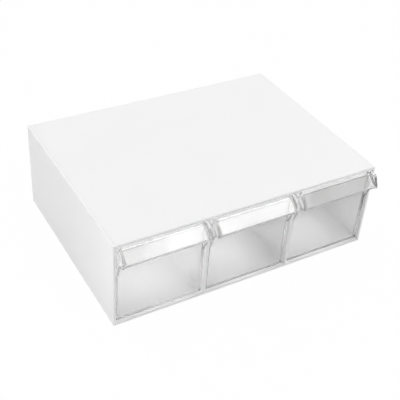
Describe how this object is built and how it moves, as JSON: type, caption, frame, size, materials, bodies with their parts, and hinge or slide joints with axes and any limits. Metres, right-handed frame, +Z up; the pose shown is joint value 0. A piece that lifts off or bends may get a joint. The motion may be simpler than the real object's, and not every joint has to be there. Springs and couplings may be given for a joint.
{
  "type": "stackable drawer box",
  "caption": "White desktop drawer case of snap-together panels with clear pull-out drawers side by side, each with a sloping hooded finger lip.",
  "frame": {"origin": "centre of the underside of the case, midway between its sides and midway between its front and back", "axes": "+Z up, -Y out of the drawer fronts, +X to the right when the drawers are seen from in front"},
  "size_m": [0.24, 0.1868, 0.08],
  "materials": {
    "white_case": "satin moulded white",
    "clear_drawer": "polished clear moulded polystyrene"
  },
  "bodies": {
    "case": {"side_panel_left": "white_case", "side_panel_right": "white_case", "top_panel": "white_case", "base_panel": "white_case", "back_panel": "white_case", "divider_left": "white_case", "divider_right": "white_case"},
    "drawer_left": {"drawer_left": "clear_drawer"},
    "drawer_middle": {"drawer_middle": "clear_drawer"},
    "drawer_right": {"drawer_right": "clear_drawer"}
  },
  "joints": [
    {"name": "slide_left", "type": "slide", "parent": "case", "child": "drawer_left", "axis": [0, -1, 0], "range_m": [0, 0.125]},
    {"name": "slide_middle", "type": "slide", "parent": "case", "child": "drawer_middle", "axis": [0, -1, 0], "range_m": [0, 0.125]},
    {"name": "slide_right", "type": "slide", "parent": "case", "child": "drawer_right", "axis": [0, -1, 0], "range_m": [0, 0.125]}
  ]
}
